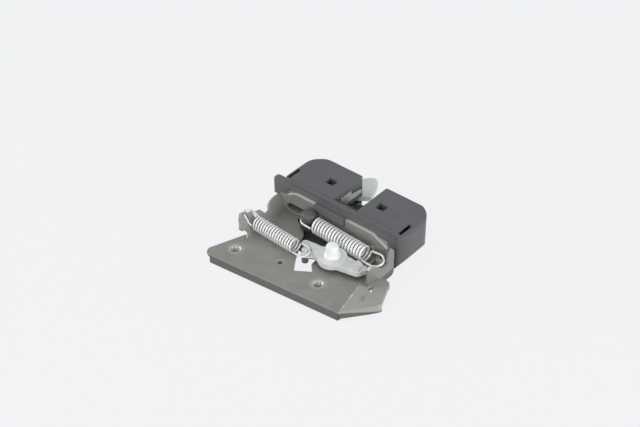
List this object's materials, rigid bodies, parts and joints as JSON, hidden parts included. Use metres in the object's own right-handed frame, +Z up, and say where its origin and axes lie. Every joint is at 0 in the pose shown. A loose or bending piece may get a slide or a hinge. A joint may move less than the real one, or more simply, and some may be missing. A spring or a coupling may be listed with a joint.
{
  "type": "seat backrest latch",
  "caption": "Rotary latch for a folding seat back: steel bracket, spring-driven claw and pawl in a moulded housing with a throat for a striker wire.",
  "frame": {"origin": "on the bracket's upper face, midway between the two threaded holes", "axes": "+X along the upright wall, towards the ear; +Y from the bracket towards the striker's side; +Z up, along the pivots and the threaded holes"},
  "size_m": [0.1543, 0.1583, 0.038],
  "materials": {
    "bracket_steel": "satin",
    "nut_steel": "satin",
    "frame_steel": "satin",
    "rivet_steel": "satin",
    "housing_plastic": "matt",
    "buffer_rubber": "matt",
    "claw_zinc": "satin",
    "bush_plastic": "matt",
    "spring_wire": "bright",
    "lever_zinc": "satin",
    "cap_plastic": "satin"
  },
  "bodies": {
    "body": {"bracket": "bracket_steel", "weld_nut_left": "nut_steel", "weld_nut_right": "nut_steel", "frame_lower": "frame_steel", "frame_upper": "frame_steel", "frame_rivets": "rivet_steel", "frame_spacers": "rivet_steel", "housing_lower": "housing_plastic", "housing_upper": "housing_plastic", "throat_buffer": "buffer_rubber", "claw_rivet": "rivet_steel", "pawl_rivet": "rivet_steel", "lever_rivet": "rivet_steel", "lever_spring": "spring_wire"},
    "claw": {"claw": "claw_zinc", "claw_post": "rivet_steel", "claw_post_bush": "bush_plastic"},
    "pawl": {"pawl": "frame_steel"},
    "rod": {"pull_rod": "rivet_steel"},
    "lever": {"release_lever": "lever_zinc", "lever_cap": "cap_plastic"},
    "spring_end": {"claw_spring": "spring_wire"}
  },
  "joints": [
    {"name": "claw_turn", "type": "hinge", "parent": "body", "child": "claw", "pos_m": [-0.025, 0.084, 0.00475], "axis": [0, 0, 1], "range_deg": [-40, 0]},
    {"name": "lever_turn", "type": "hinge", "parent": "body", "child": "lever", "pos_m": [0.033, 0.031, 0.0055], "axis": [0, 0, 1], "range_deg": [-8, 4], "deforming": ["lever_spring"]},
    {"name": "pawl_turn", "type": "hinge", "parent": "body", "child": "pawl", "pos_m": [0.037, 0.097, 0.00475], "axis": [0, 0, 1], "range_deg": [-9.7, 4.9]},
    {"name": "rod_slide", "type": "slide", "parent": "body", "child": "rod", "axis": [0, 1, 0], "range_m": [-0.0036, 0.0018]},
    {"name": "spring_stretch", "type": "slide", "parent": "body", "child": "spring_end", "axis": [0.996, 0.0897, 0], "range_m": [-0.0234, 0], "deforming": ["claw_spring"]}
  ],
  "couplings": [
    {"joint": "pawl_turn", "follows": "lever_turn", "ratio": 1.2},
    {"joint": "rod_slide", "follows": "lever_turn", "m_per_rad": 0.024},
    {"joint": "spring_stretch", "follows": "claw_turn", "m_per_rad": 0.03352}
  ]
}
